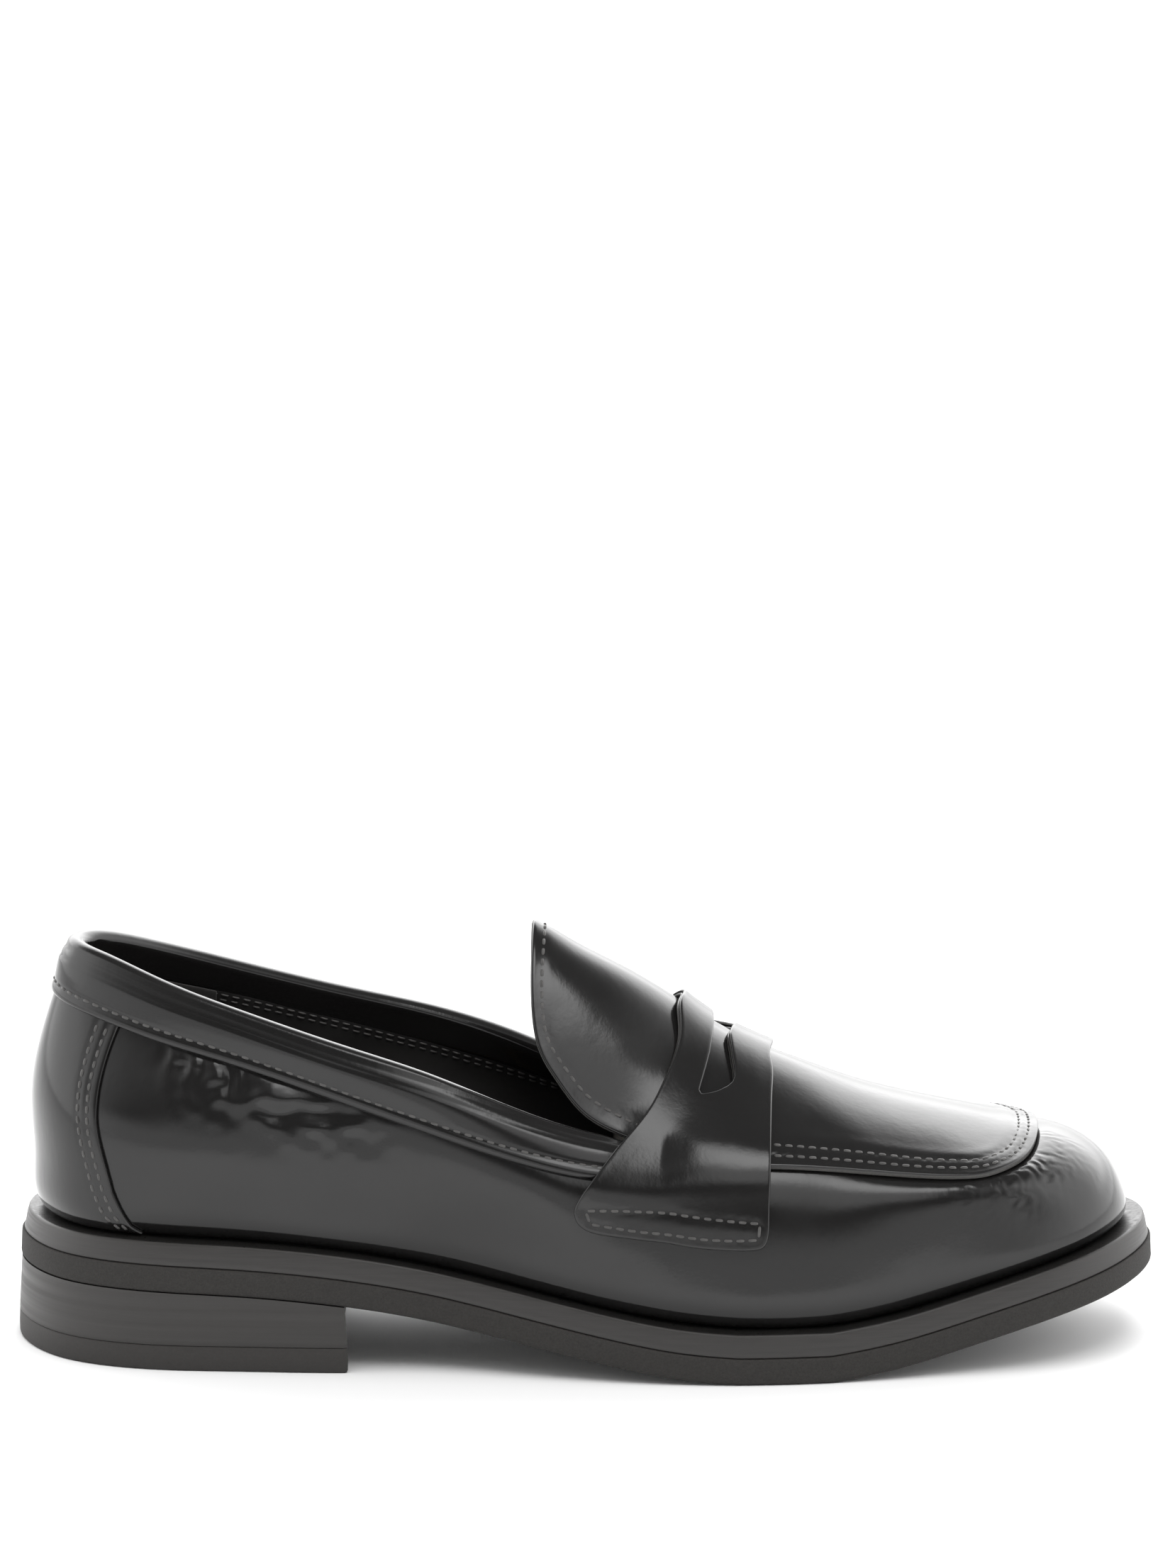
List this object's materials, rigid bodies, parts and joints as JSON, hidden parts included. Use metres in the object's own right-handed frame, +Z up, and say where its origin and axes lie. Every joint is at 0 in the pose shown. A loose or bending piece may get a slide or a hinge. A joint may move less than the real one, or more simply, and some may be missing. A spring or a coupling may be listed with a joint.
{
  "type": "penny loafer",
  "caption": "Black leather penny loafer, right foot, with stitched apron, tongue, saddle strap with a coin slot, folded collar, welted rubber sole and low block heel.",
  "frame": {"origin": "on the ground, at the middle of the shoe's length and width", "axes": "+X from the heel to the toe, +Z up, -Y towards the outer (lateral) side of the foot"},
  "size_m": [0.2704, 0.1004, 0.1013],
  "materials": {
    "upper_leather": "black brushed-off box calf, high gloss with a soft grain",
    "strap_backing": "black split leather, matt, greyish cut edge",
    "lining_leather": "black lining leather, satin",
    "heel_suede": "black suede, matt with a short nap",
    "stiffener_board": "impregnated fibre sheet, matt",
    "interlining_cloth": "cotton twill",
    "insole_board": "cellulose board, matt",
    "footbed_foam": "open cell latex foam",
    "cork_filler": "cork sheet",
    "spring_steel": "blued strip steel",
    "nail_steel": "bright wire",
    "welt_edge": "black dressed sole edge, satin",
    "outsole_rubber": "black moulded rubber, fine matt grain",
    "heel_block": "black stacked-look block, satin with fine level lines",
    "top_piece_rubber": "black hard rubber, matt"
  },
  "bodies": {
    "root": {"apron": "upper_leather", "apron_lining": "lining_leather", "back_counter": "upper_leather", "collar": "upper_leather", "counter_stiffener": "stiffener_board", "footbed_foam": "footbed_foam", "forepart_filler": "cork_filler", "heel_block": "heel_block", "heel_grip": "heel_suede", "heel_nail_1": "nail_steel", "heel_nail_2": "nail_steel", "heel_nail_3": "nail_steel", "heel_nail_4": "nail_steel", "heel_nail_5": "nail_steel", "heel_top_piece": "top_piece_rubber", "insole_board": "insole_board", "outsole": "outsole_rubber", "quarter_lining": "lining_leather", "shank": "spring_steel", "side_interlining_lateral": "interlining_cloth", "side_interlining_medial": "interlining_cloth", "sock_liner": "lining_leather", "strap": "upper_leather", "strap_backing": "strap_backing", "toe_puff": "stiffener_board", "vamp": "upper_leather", "vamp_lining": "lining_leather", "welt_midsole": "welt_edge"}
  },
  "joints": []
}
